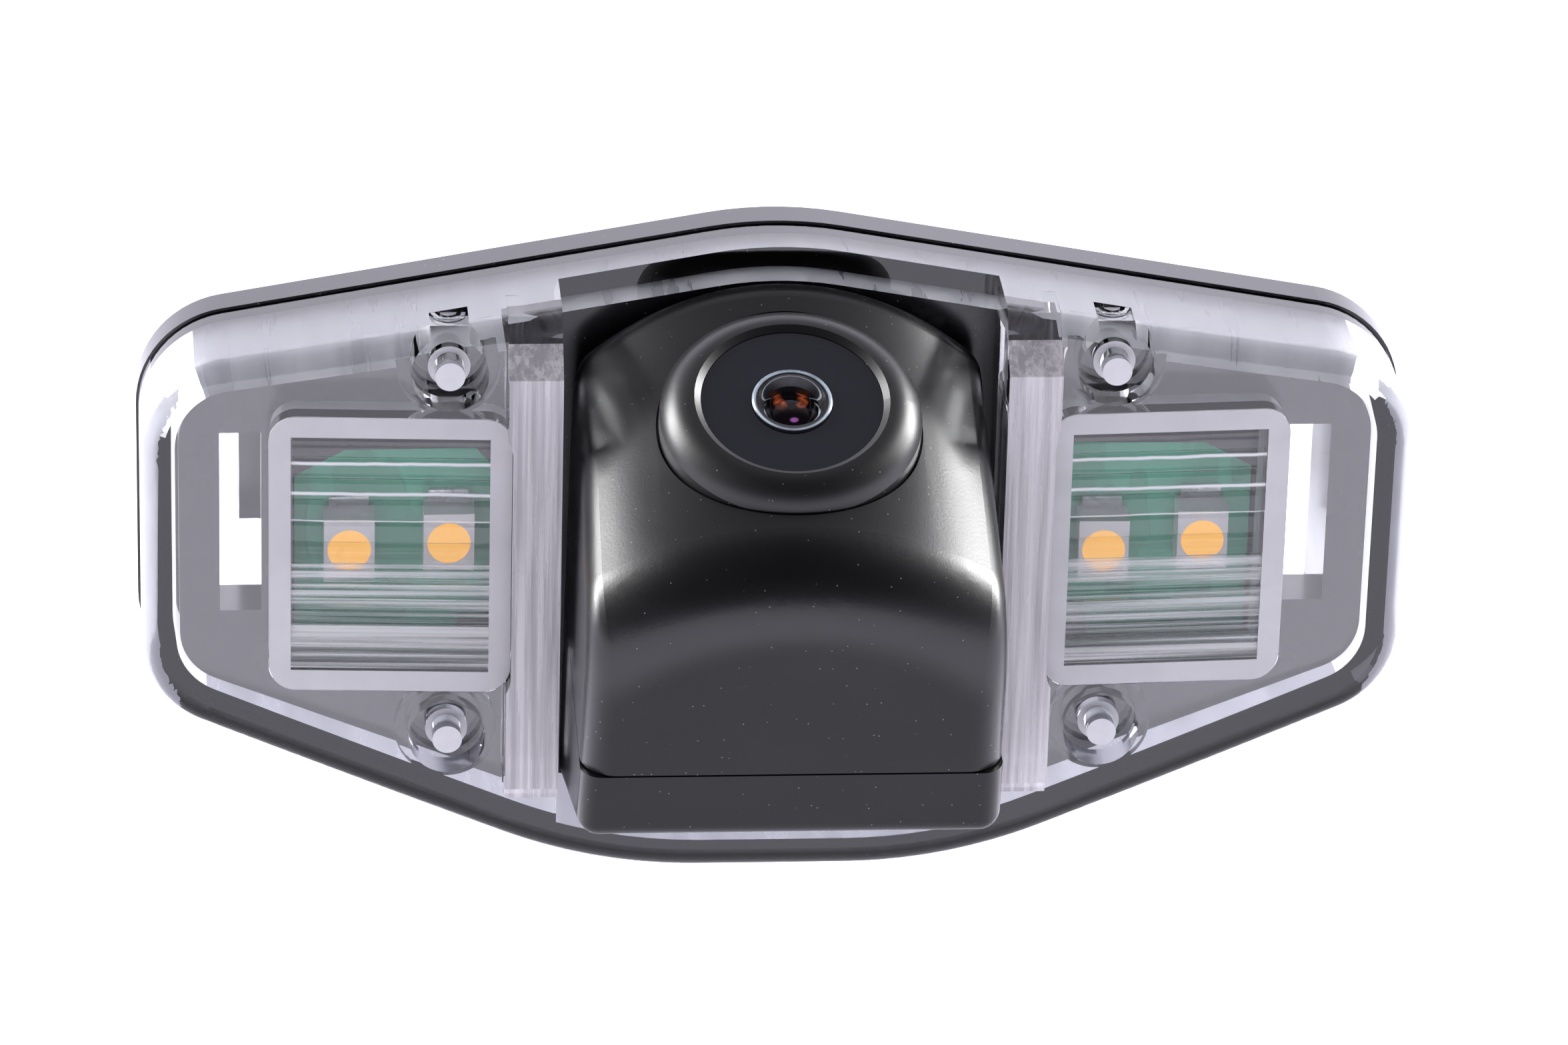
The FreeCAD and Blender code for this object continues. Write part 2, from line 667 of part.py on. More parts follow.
def slope(uphill, lift=0.0):
    """Point on the middle plane at a distance up the eye face and a height off it."""
    angle = math.radians(EYE_TILT)
    y = EYE.y + uphill * math.cos(angle) - lift * math.sin(angle)
    z = EYE.z + uphill * math.sin(angle) + lift * math.cos(angle)
    return Vector(0, y, z)


def eye_placed(shape):
    """Turns a shape built about Z at the origin onto the eye's axis."""
    shape.Placement = Placement(EYE, Rotation(X_AXIS, EYE_TILT))
    return shape


def hump_half(z, inset):
    """Half width of the hump at a height: its sides lean together towards the top."""
    return HUMP_HALF_WIDTH - HUMP_TAPER * z - inset


def hump_profile(inset):
    """The hump's middle section, extruded past both sides."""
    angle = math.radians(EYE_TILT)
    lift = HUMP_CROWN_LIFT - inset
    to_back = (HUMP_BACK - EYE.y + lift * math.sin(angle)) / math.cos(angle)
    toe = HUMP_TOE + Vector(0, inset, inset)
    crest = slope(-HUMP_DOWNHILL + 0.8 * inset, -inset)
    front = (crest - toe).normalize()
    rise = HUMP_CROWN_LIFT / (front.z * math.cos(angle) - front.y * math.sin(angle))
    heel = Vector(0, HUMP_BACK, HUMP_HEEL_Z + inset)
    corners = [
        (slope(to_back, lift), 0),
        (crest + front * rise, 0),
        (toe, HUMP_TOE_ROUND),
        (heel, 0),
    ]
    wire = rounded_wire([(p - X_AXIS * HUMP_REACH, r) for p, r in corners])
    return Part.Face(wire).extrude(Vector(2 * HUMP_REACH, 0, 0))


def hump_wedge(inset):
    """The space between the hump's two leaning sides."""
    reach = HUMP_REACH
    wide = hump_half(-reach, inset)
    narrow = hump_half(reach, inset)
    sides = [(-wide, -reach), (wide, -reach), (narrow, reach), (-narrow, reach)]
    points = [Vector(x, -2 * reach, z) for x, z in sides]
    return Part.Face(Part.makePolygon(points + points[:1])).extrude(Vector(0, 3 * reach, 0))


def hump_crown(inset):
    """A wide cylinder along the slope, whose top is the crowned eye face."""
    crown = Part.makeCylinder(HUMP_CROWN_RADIUS - inset, 6 * HUMP_REACH)
    lay = Rotation(X_AXIS, -90) * Rotation(Z_AXIS, 90)
    laid = Placement(Vector(0, -3 * HUMP_REACH, HUMP_CROWN_LIFT - HUMP_CROWN_RADIUS), lay)
    crown.Placement = Placement(EYE, Rotation(X_AXIS, EYE_TILT)) * laid
    return crown


def edge_points(edge):
    """Points along an edge."""
    first = edge.FirstParameter
    step = (edge.LastParameter - first) / 8
    return [edge.valueAt(first + step * i) for i in range(9)]


def hump_edges(body, inset):
    """The long edges of the two sides, and the edge of the arched top."""
    chosen = []
    for edge in body.Edges:
        bounds = edge.BoundBox
        points = edge_points(edge)
        on_side = all(abs(abs(p.x) - hump_half(p.z, inset)) < 2e-3 for p in points)
        on_top = bounds.XLength > 5 and points[4].z > EYE.z
        if (on_side or on_top) and bounds.YMin < HUMP_BACK - 1e-3:
            chosen.append(edge)
    return chosen


def hump_body(inset, round_radius):
    """The camera hump as a solid, with all its visible faces moved inwards by inset."""
    body = hump_profile(inset).common(hump_wedge(inset))
    arch_centre = Vector(0, HUMP_UPHILL - HUMP_ARCH_RADIUS, -40)
    arch = Part.makeCylinder(HUMP_ARCH_RADIUS - inset, 60, arch_centre)
    body = body.common(eye_placed(arch)).common(hump_crown(inset)).Solids[0]
    crest = [e for e in body.Edges if e.BoundBox.XLength > 5 and e.BoundBox.YMax < HUMP_TOE.y - 1]
    crest = [e for e in crest if e.BoundBox.ZMin > 0]
    body = body.makeFillet(HUMP_CREST_ROUND - inset, crest).Solids[0]
    return body.makeFillet(round_radius, hump_edges(body, inset))


def above_seam(lift):
    """A big block above the plane that parts the hump, lifted off it."""
    block = Part.makeBox(40, 60, 40, Vector(-20, -30, lift))
    block.Placement = Placement(HUMP_SEAM, Rotation(X_AXIS, SEAM_RISE))
    return block


def hump_bosses(high):
    """Screw bosses on the hump's side walls: the upper pair or the lower pair."""
    bosses = []
    for x, z in HUMP_SCREW_PLACES:
        if (z > 0) == high:
            side = 1 if x > 0 else -1
            wall = sorted((x, side * (HUMP_HALF_WIDTH - 0.5)))
            tip = HUMP_BACK - HUMP_BOSS_LENGTH
            post = rod(x, z, HUMP_BOSS_RADIUS, tip, HUMP_BACK)
            low = (wall[0], tip, z - HUMP_BOSS_WEB)
            web = box(low, (wall[1], HUMP_BACK, z + HUMP_BOSS_WEB))
            bosses.append(post.fuse(web))
    return bosses


def drill_hump(shape):
    """Pilot holes for the screws that come from inside the base."""
    for x, z in HUMP_SCREW_PLACES:
        shape = shape.cut(rod(x, z, SCREW_RADIUS, HUMP_BACK - HUMP_BOSS_LENGTH + 0.8, HUMP_BACK))
    return shape


def eye_rod(radius, low, high, x=0.0, y=0.0):
    """A round rod along the eye's axis, before it is placed."""
    return Part.makeCylinder(radius, high - low, Vector(x, y, low))


def make_camera_front_shell():
    """Hump above the seam, with the bezel's seat, the eye's bore and its bosses."""
    outer = hump_body(0, HUMP_EDGE_ROUND)
    shell = outer.cut(hump_body(HUMP_WALL, HUMP_INNER_ROUND))
    shell = fuse([shell] + [boss.common(outer) for boss in hump_bosses(True)])
    posts = []
    for x, y in SENSOR_SCREW_PLACES:
        posts.append(eye_placed(eye_rod(SENSOR_POST_RADIUS, SENSOR_BOARD_FRONT, BEZEL_SEAT, x, y)))
    shell = fuse([shell] + [post.common(outer) for post in posts])
    low = BEZEL_SEAT - BEZEL_LEDGE
    collar = eye_placed(eye_rod(BEZEL_RADIUS + BEZEL_WALL, low, BEZEL_RISE))
    shell = fuse([shell, collar.common(outer)])
    shell = shell.cut(eye_placed(eye_rod(BEZEL_RADIUS + BEZEL_GAP, BEZEL_SEAT, BEZEL_RISE)))
    shell = shell.cut(eye_placed(eye_rod(EYE_BORE_RADIUS, low, BEZEL_SEAT)))
    for x, y in SENSOR_SCREW_PLACES:
        pilot = eye_rod(SENSOR_SCREW_RADIUS, SENSOR_BOARD_FRONT, SENSOR_BOARD_FRONT + 5, x, y)
        shell = shell.cut(eye_placed(pilot))
    return drill_hump(shell).common(above_seam(SEAM_GAP / 2))


def make_camera_lower_cap():
    """Hump below the seam, with a lip that reaches up inside the front shell."""
    outer = hump_body(0, CAP_EDGE_ROUND)
    core = hump_body(CAP_LIP_INSET + CAP_LIP_WALL, HUMP_INNER_ROUND)
    cap = outer.cut(core).cut(above_seam(-SEAM_GAP / 2))
    lip = hump_body(CAP_LIP_INSET, HUMP_INNER_ROUND).cut(core)
    lip = lip.common(above_seam(-CAP_LIP_DROP)).cut(above_seam(CAP_LIP_HEIGHT))
    cap = fuse([cap, lip] + [boss.common(outer) for boss in hump_bosses(False)])
    return drill_hump(cap)


def turned(points):
    """Solid turned about the eye's axis from (radius, height) points."""
    profile = [Vector(r, 0, h) for r, h in points]
    face = Part.Face(Part.makePolygon(profile + profile[:1]))
    return face.revolve(Vector(0, 0, 0), Z_AXIS, 360)


def make_lens_bezel():
    """Ring round the eye, its front rounded from the rim down to the hump."""
    rim = Vector(BEZEL_RIM_RADIUS + BEZEL_CROWN, 0, BEZEL_RISE)
    outer = Vector(BEZEL_RADIUS, 0, BEZEL_FOOT)
    bulge = Vector(BEZEL_BULGE[0], 0, BEZEL_BULGE[1])
    corners = [
        outer,
        Vector(BEZEL_RADIUS, 0, BEZEL_SEAT),
        Vector(BEZEL_RIM_RADIUS, 0, BEZEL_SEAT),
        Vector(BEZEL_RIM_RADIUS, 0, BEZEL_RISE - BEZEL_LIP),
        rim,
    ]
    edges = [Part.Arc(rim, bulge, outer).toShape()]
    edges += [Part.makeLine(a, b) for a, b in zip(corners, corners[1:])]
    ring = Part.Face(Part.Wire(edges)).revolve(Vector(0, 0, 0), Z_AXIS, 360)
    bore = eye_rod(BEZEL_RIM_RADIUS, SPIGOT_END - 1, 0)
    return eye_placed(fuse([ring, eye_rod(SPIGOT_RADIUS, SPIGOT_END, BEZEL_SEAT).cut(bore)]))


def make_bezel_seal():
    """Square-section ring under the bezel's spigot."""
    bore = eye_rod(BEZEL_RIM_RADIUS, EYE_SEAL_END - 1, 0)
    return eye_placed(eye_rod(SPIGOT_RADIUS, EYE_SEAL_END, EYE_SEAL_TOP).cut(bore))


def make_eye_disc():
    """Dark glossy disc that closes the bezel, with a hole for the lens."""
    back = DISC_TOP - DISC_THICK
    disc = eye_rod(BEZEL_RIM_RADIUS - RING_GAP, back, DISC_TOP)
    return eye_placed(disc.cut(eye_rod(RING_RADIUS + RING_GAP, back, DISC_TOP)))


def make_lens_retaining_ring():
    """Narrow bright ring that holds the front element."""
    bore = RING_HOLE_RADIUS - RING_LEDGE
    points = [
        (bore, RING_BACK),
        (RING_RADIUS, RING_BACK),
        (RING_RADIUS, RING_TOP - RING_BEVEL),
        (RING_RADIUS - RING_BEVEL, RING_TOP),
        (RING_HOLE_RADIUS, RING_TOP - RING_BEVEL / 2),
        (bore, RING_TOP - RING_FUNNEL),
    ]
    return eye_placed(turned(points))


def dome_lens(radius, back, edge, sagitta):
    """Lens element with a flat back, a straight edge and a domed front."""
    rim = Vector(radius, 0, edge)
    crown = Vector(0, 0, edge + sagitta)
    sphere = (radius**2 + sagitta**2) / (2 * sagitta)
    half_angle = math.asin(radius / sphere) / 2
    centre_z = edge + sagitta - sphere
    middle = Vector(sphere * math.sin(half_angle), 0, centre_z + sphere * math.cos(half_angle))
    edges = [
        Part.makeLine(Vector(0, 0, back), Vector(radius, 0, back)),
        Part.makeLine(Vector(radius, 0, back), rim),
        Part.Arc(rim, middle, crown).toShape(),
        Part.makeLine(crown, Vector(0, 0, back)),
    ]
    return Part.Face(Part.Wire(edges)).revolve(Vector(0, 0, 0), Z_AXIS, 360)


def make_front_lens_element():
    """Domed glass seen in the eye."""
    return eye_placed(dome_lens(FRONT_GLASS_RADIUS, BARREL_LEDGE, FRONT_GLASS_EDGE, FRONT_GLASS_DOME))


def make_lens_barrel():
    """Tube that carries the glass, with a stepped bore."""
    tube = eye_rod(BARREL_RADIUS, BARREL_END, BARREL_TOP)
    tube = tube.cut(eye_rod(FRONT_GLASS_RADIUS + GLASS_GAP, BARREL_LEDGE, BARREL_TOP))
    tube = tube.cut(eye_rod(BARREL_THROAT_RADIUS, BARREL_THROAT, BARREL_LEDGE))
    return eye_placed(tube.cut(eye_rod(BARREL_BORE_RADIUS, BARREL_END, BARREL_THROAT)))


def make_inner_lens_elements():
    """Two more pieces of glass in the barrel."""
    middle = dome_lens(INNER_GLASS_RADIUS, *MIDDLE_GLASS)
    return eye_placed(Part.makeCompound([middle, dome_lens(INNER_GLASS_RADIUS, *REAR_GLASS)]))


def make_lens_spacer():
    """Ring between the two inner pieces of glass."""
    ring = eye_rod(INNER_GLASS_RADIUS, SPACER_END, SPACER_TOP)
    return eye_placed(ring.cut(eye_rod(SPACER_BORE_RADIUS, SPACER_END, SPACER_TOP)))


def make_lens_holder():
    """Square holder that the barrel screws into, over the image sensor."""
    half = HOLDER_HALF
    back = SENSOR_BOARD_FRONT
    block = box((-half, -half, back), (half, half, HOLDER_SHOULDER))
    neck = eye_rod(BARREL_RADIUS + HOLDER_WALL, HOLDER_SHOULDER, HOLDER_TOP)
    holder = fuse([block, neck]).cut(eye_rod(BARREL_RADIUS + GLASS_GAP, BARREL_END, 0))
    half = HOLDER_CAVITY_HALF
    holder = holder.cut(box((-half, -half, back), (half, half, HOLDER_CAVITY_TOP)))
    return eye_placed(holder.cut(eye_rod(HOLDER_HOLE_RADIUS, HOLDER_CAVITY_TOP, BARREL_END)))


def make_ir_filter():
    """Thin square filter under the holder's ledge."""
    half = FILTER_HALF
    return eye_placed(box((-half, -half, FILTER_BACK), (half, half, FILTER_FRONT)))


def make_image_sensor():
    """Sensor package on the camera board."""
    half = SENSOR_HALF
    back = SENSOR_BOARD_FRONT
    return eye_placed(box((-half, -half, back), (half, half, back + SENSOR_THICK)))


def make_camera_board():
    """Board that carries the sensor in front and the electronics behind."""
    back = SENSOR_BOARD_FRONT - SENSOR_BOARD_THICK
    low = (-SENSOR_BOARD_HALF_X, -SENSOR_BOARD_HALF_Y, back)
    board = box(low, (SENSOR_BOARD_HALF_X, SENSOR_BOARD_HALF_Y, SENSOR_BOARD_FRONT))
    for x, y in SENSOR_SCREW_PLACES:
        board = board.cut(eye_rod(SENSOR_SCREW_RADIUS + SCREW_CLEARANCE, back - 1, 0, x, y))
    return eye_placed(board)


def behind_board(low, high, depth):
    """A block on the camera board's back, between two (x, y) corners."""
    back = SENSOR_BOARD_FRONT - SENSOR_BOARD_THICK
    return box((low[0], low[1], back - depth), (high[0], high[1], back))


def make_video_processor():
    """Square chip on the board's back."""
    return eye_placed(behind_board((-2.6, 0.0), (2.6, 5.2), CHIP_THICK))


def make_crystal():
    """Clock crystal in its metal can."""
    return eye_placed(behind_board((4.0, 1.0), (6.5, 4.2), SMALL_CHIP_THICK))


def make_board_capacitors():
    """Row of chip capacitors beside the connector."""
    thick = SMALL_CHIP_THICK
    chips = [behind_board((x, -1.6), (x + 0.8, -0.2), thick) for x in CAPACITOR_XS]
    return eye_placed(Part.makeCompound(chips))


def make_board_connector():
    """Four-way socket for the camera's lead."""
    shell = behind_board((-3.6, -5.4), (3.6, -2.4), CONNECTOR_HEIGHT)
    mouth = behind_board((-3.0, -4.9), (3.0, -2.9), CONNECTOR_HEIGHT)
    floor = behind_board((-3.2, -5.0), (3.2, -2.8), CHIP_THICK)
    return eye_placed(shell.cut(mouth.cut(floor)))


def make_camera_board_screws():
    """Two small screws through the camera board."""
    back = SENSOR_BOARD_FRONT - SENSOR_BOARD_THICK
    screws = []
    for x, y in SENSOR_SCREW_PLACES:
        shank = eye_rod(SENSOR_SCREW_RADIUS - GLASS_GAP, back, SENSOR_BOARD_FRONT + 3.5, x, y)
        head = eye_rod(SENSOR_SCREW_HEAD, back - SENSOR_SCREW_HEAD_THICK, back, x, y)
        screws.append(shank.fuse(head))
    return eye_placed(Part.makeCompound(screws))


def cross_screw(x, z, seat, tip):
    """Pan-head screw along Y with a cross recess, its head behind seat."""
    back = seat + SCREW_HEAD_HEIGHT
    head = rod(x, z, SCREW_HEAD_RADIUS, seat, back)
    rim = [e for e in head.Edges if e.BoundBox.YMin > back - 1e-3 and e.BoundBox.XLength > 1]
    head = head.makeFillet(SCREW_HEAD_ROUND, rim)
    screw = head.fuse(rod(x, z, SCREW_RADIUS - GLASS_GAP, tip, seat))
    deep = back - SCREW_CROSS_DEPTH
    long = SCREW_CROSS_LONG
    narrow = SCREW_CROSS_NARROW
    for wide, tall in ((long, narrow), (narrow, long)):
        screw = screw.cut(box((x - wide, deep, z - tall), (x + wide, back, z + tall)))
    return screw


def make_hump_screws():
    """Four screws that hold the hump, driven from inside the tub."""
    tip = HUMP_BACK - HUMP_BOSS_LENGTH + SCREW_CLEARANCE * 12
    return Part.makeCompound([cross_screw(x, z, BAY_FLOOR_BACK, tip) for x, z in HUMP_SCREW_PLACES])


def make_rear_cover():
    """Lid of the tub with a lip, screw holes and the gland's hole."""
    back = TUB_BACK + COVER_THICK
    plate = tub_slab(TUB_INSET, TUB_HALF_WIDTH, TUB_BACK, back)
    back_edges = [e for e in plate.Edges if e.BoundBox.YMin > back - 1e-3]
    plate = plate.makeChamfer(COVER_CHAMFER, back_edges)
    inset = TUB_INSET + TUB_WALL + COVER_GAP
    half = TUB_HALF_WIDTH - TUB_WALL - COVER_GAP
    front = TUB_BACK - LIP_DEPTH
    lip = tub_slab(inset, half, front, TUB_BACK)
    lip = lip.cut(tub_slab(inset + COVER_LIP_WALL, half - COVER_LIP_WALL, front, TUB_BACK))
    for x, z in COVER_SCREW_PLACES:
        lip = lip.cut(rod(x, z, BOSS_RADIUS + COVER_GAP, front, TUB_BACK))
    cover = fuse([plate, lip])
    for x, z in COVER_SCREW_PLACES:
        cover = cover.cut(rod(x, z, SCREW_RADIUS + SCREW_CLEARANCE, front, back))
    return cover.cut(rod(GLAND_X, GLAND_Z, GLAND_NECK, front, back))


def make_rear_cover_screws():
    """Four screws that hold the rear cover."""
    seat = TUB_BACK + COVER_THICK
    tip = TUB_BACK - SCREW_REACH
    return Part.makeCompound([cross_screw(x, z, seat, tip) for x, z in COVER_SCREW_PLACES])


def gland_rod(radius, front, back):
    """A round rod about the gland's axis."""
    return rod(GLAND_X, GLAND_Z, radius, front, back)


def make_cable_gland():
    """Rubber gland in the rear cover with a grooved, tapered nose and a bore for the cable."""
    seat = TUB_BACK + COVER_THICK
    front = TUB_BACK - GLAND_FLANGE_THICK
    inside = gland_rod(GLAND_FLANGE, front, TUB_BACK)
    neck = gland_rod(GLAND_NECK, front, seat)
    flange = gland_rod(GLAND_FLANGE, seat, seat + GLAND_FLANGE_THICK)
    foot = Vector(GLAND_X, seat, GLAND_Z)
    nose = Part.makeCone(GLAND_NOSE_BASE, GLAND_NOSE_TIP, GLAND_NOSE_LENGTH, foot, Y_AXIS)
    gland = fuse([inside, neck, flange, nose])
    for step in range(GLAND_GROOVES):
        low = seat + GLAND_GROOVE_START + GLAND_GROOVE_PITCH * step
        high = low + GLAND_GROOVE_WIDTH
        groove = gland_rod(GLAND_FLANGE, low, high).cut(gland_rod(GLAND_GROOVE_RADIUS, low, high))
        gland = gland.cut(groove)
    return gland.cut(gland_rod(GLAND_BORE, front, seat + GLAND_LENGTH))


NODES = {
    "base_housing": make_base_housing,
    "latch_arm": make_latch_arm,
    "panel_gasket": make_panel_gasket,
    "outer_lens": make_outer_lens,
    "left_prism_lens": lambda: make_prism_lens(-1),
    "right_prism_lens": lambda: make_prism_lens(1),
    "left_led_board": lambda: make_led_board(-1),
    "right_led_board": lambda: make_led_board(1),
    "led_bodies": make_led_bodies,
    "led_phosphors": make_led_phosphors,
    "led_solder_pads": make_led_solder_pads,
    "led_resistors": make_led_resistors,
    "camera_front_shell": make_camera_front_shell,
    "camera_lower_cap": make_camera_lower_cap,
    "lens_bezel": make_lens_bezel,
    "bezel_seal": make_bezel_seal,
    "eye_disc": make_eye_disc,
    "lens_retaining_ring": make_lens_retaining_ring,
    "front_lens_element": make_front_lens_element,
    "lens_barrel": make_lens_barrel,
    "inner_lens_elements": make_inner_lens_elements,
    "lens_spacer": make_lens_spacer,
    "lens_holder": make_lens_holder,
    "ir_filter": make_ir_filter,
    "image_sensor": make_image_sensor,
    "camera_board": make_camera_board,
    "video_processor": make_video_processor,
    "crystal": make_crystal,
    "board_capacitors": make_board_capacitors,
    "board_connector": make_board_connector,
    "camera_board_screws": make_camera_board_screws,
    "hump_screws": make_hump_screws,
    "rear_cover": make_rear_cover,
    "rear_cover_screws": make_rear_cover_screws,
    "cable_gland": make_cable_gland,
}


def main():
    os.makedirs("parts", exist_ok=True)
    for name, make in NODES.items():
        shape = make()
        shape.exportStep(f"parts/{name}.step")
        print(name, len(shape.Solids), "valid" if shape.isValid() else "INVALID")


main()
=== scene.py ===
import math

import bpy
from mathutils import Matrix, Vector


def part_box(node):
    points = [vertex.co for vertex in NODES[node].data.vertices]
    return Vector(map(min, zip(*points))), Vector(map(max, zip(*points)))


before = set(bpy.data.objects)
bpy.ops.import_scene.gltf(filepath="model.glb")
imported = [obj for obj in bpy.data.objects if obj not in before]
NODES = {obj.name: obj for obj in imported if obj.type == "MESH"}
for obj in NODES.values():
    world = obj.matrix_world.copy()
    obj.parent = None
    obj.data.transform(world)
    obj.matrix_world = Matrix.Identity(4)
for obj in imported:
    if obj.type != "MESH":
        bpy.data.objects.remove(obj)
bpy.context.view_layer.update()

# All lengths are in metres, in the lamp's own frame: X along it, its face towards -Y, +Z up.
PRISMS = ["left_prism_lens", "right_prism_lens"]
cover_low, cover_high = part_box("outer_lens")
prism_low, prism_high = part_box("right_prism_lens")
ring_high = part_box("lens_retaining_ring")[1]
glass_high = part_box("front_lens_element")[1]

# Camera: its direction, its distance, the width it takes in and its framing
AZIMUTH = math.radians(-5.0)
ELEVATION = math.radians(24.0)
ROLL = math.radians(1.5)
DISTANCE = 0.450
FRAME_WIDTH = 0.08847
SENSOR_WIDTH = 36
SHIFT = (0.0128, -0.0128)

# Eye: the height that a length in its tilted plane gains, and the middles of its ring and glass
EYE_SLOPE = 0.44
RING_Z = ring_high[2] - 0.0009625
GLASS_Z = glass_high[2] - 0.0002679

# Painted highlights along the ring's rims: radius, half width of the bright part and of the whole line
RING_OUTER_HIGHLIGHT = (ring_high[0] - 0.00011, 0.00005, 0.00013)
RING_INNER_HIGHLIGHT = (glass_high[0] + 0.00013, 0.00002, 0.00006)

# Painted glints on the lens glass, orange at left and right and violet below: X and Z of each spot, and the
# spots' radii
LEFT_PAINTED_GLINT = (-0.00062, GLASS_Z + 0.00005)
RIGHT_PAINTED_GLINT = (0.00062, GLASS_Z + 0.0001)
LOW_PAINTED_GLINT = (0.0001, GLASS_Z - 0.00047)
SIDE_PAINTED_GLINT_RADIUS = 0.00042
LOW_PAINTED_GLINT_RADIUS = 0.00028

# Clear cover: where its pillars, walls and pins are
PILLAR_X = (0.01215, 0.0151)
PILLAR_FRONT = cover_low[1] + 0.0012
TOP_WALL_Z = cover_high[2] - 0.0031675
TOP_WALL_FALL = 0.175
LOW_WALL_Z = cover_low[2] + 0.00478
LOW_WALL_RISE = 0.35
END_SKIN_X = cover_high[0] - 0.0021355
END_WALL_X = cover_high[0] - 0.0051355
PIN_X = 0.01825
PIN_Z = (0.0126, -0.00925)
PIN_RADIUS = 0.0011

# Prism lens: middle, half width and height of its ribs, their painted highlight lines and their hazy part
PRISM_X = (prism_low[0] + prism_high[0]) / 2 + 0.00008
PRISM_HALF_X = (prism_high[0] - prism_low[0]) / 2 - 0.00142
PRISM_Z = (prism_low[2] + 0.0013, prism_high[2] - 0.0013)
PRISM_HIGHLIGHT_LINES = (0.00720, 0.00545, 0.00380)
PRISM_HIGHLIGHT_WIDTH = (0.00004, 0.00012)
HAZE_TOP = 0.0008

# Refractive indices: one for polished plastic and the cover's skins, one for glass, ribs and bright parts
PLASTIC_IOR = 1.57
GLASS_IOR = 1.5

# Sky: strength at the front, overhead and behind, and the stretches of its fades
LIGHT_TINT = (0.93, 0.91, 1.04)
FRONT = 0.05
OVERHEAD = 0.5
TENT = 2.2
OVERHEAD_FADE = (-0.15, 0.35)
TENT_FADE = (0.45, 0.8)
HORIZON_FADE = (0.05, 0.12)

# Table: height, half size, and its glow near the lamp, dimmed there as a painted shadow, and further out
TABLE_Z = -0.35
TABLE_REACH = 60
TABLE_NEAR_SHADED = 0.72
TABLE_FAR = 2.1
TABLE_FADE = (0.25, 0.6)

# Two soft boxes, one off each end
BOX_POWER = 34
BOX_SIZE = (0.35, 0.7)
BOX_TOWARD = (0.86, 0.34, 0.36)
BOX_DISTANCE = 1.2


def look_from(azimuth, elevation):
    """Unit vector from the object towards a direction."""
    flat = math.cos(elevation)
    return Vector((math.sin(azimuth) * flat, -math.cos(azimuth) * flat, math.sin(elevation)))


def make_camera():
    """Camera on its sphere about the origin, turned a little about its own axis."""
    back = look_from(AZIMUTH, ELEVATION)
    level = Vector((math.cos(AZIMUTH), math.sin(AZIMUTH), 0))
    up = back.cross(level)
    right = level * math.cos(ROLL) + up * math.sin(ROLL)
    up = up * math.cos(ROLL) - level * math.sin(ROLL)
    place = Matrix((right, up, back)).transposed().to_4x4()
    place.translation = back * DISTANCE
    data = bpy.data.cameras.new("camera")
    data.sensor_width = SENSOR_WIDTH
    data.lens = SENSOR_WIDTH * DISTANCE / FRAME_WIDTH
    data.shift_x, data.shift_y = SHIFT
    data.clip_start = 0.01
    data.clip_end = 200
    camera = bpy.data.objects.new("camera", data)
    camera.matrix_world = place
    bpy.context.scene.collection.objects.link(camera)
    bpy.context.scene.camera = camera


class Tree:
    """A node tree, with short ways to add what both materials and the sky use."""

    def __init__(self, tree):
        self.tree = tree

    def add(self, kind, **settings):
        node = self.tree.nodes.new(kind)
        for key, value in settings.items():
            setattr(node, key, value)
        return node

    def link(self, source, target):
        self.tree.links.new(source, target)

    def split(self, vector):
        """The three parts of a vector."""
        node = self.add("ShaderNodeSeparateXYZ")
        self.link(vector, node.inputs[0])
        return node.outputs[0], node.outputs[1], node.outputs[2]

    def ramp(self, source, low, high, out_low, out_high, kind="LINEAR"):
        """Turns the range from low to high into that from out_low to out_high, held at its ends."""
        node = self.add("ShaderNodeMapRange", interpolation_type=kind)
        limits = {"From Min": low, "From Max": high, "To Min": out_low, "To Max": out_high}
        for name, value in limits.items():
            node.inputs[name].default_value = value
        self.link(source, node.inputs["Value"])
        return node.outputs["Result"]

    def math(self, kind, a, b=0):
        """One sum, of two sockets or numbers."""
        node = self.add("ShaderNodeMath", operation=kind)
        for i, value in enumerate((a, b)):
            if isinstance(value, (int, float)):
                node.inputs[i].default_value = value
            else:
                self.link(value, node.inputs[i])
        return node.outputs[0]

    def length(self, a, b):
        """Length of the line that goes a one way and b across it."""
        square = self.math("ADD", self.math("MULTIPLY", a, a), self.math("MULTIPLY", b, b))
        return self.math("SQRT", square)


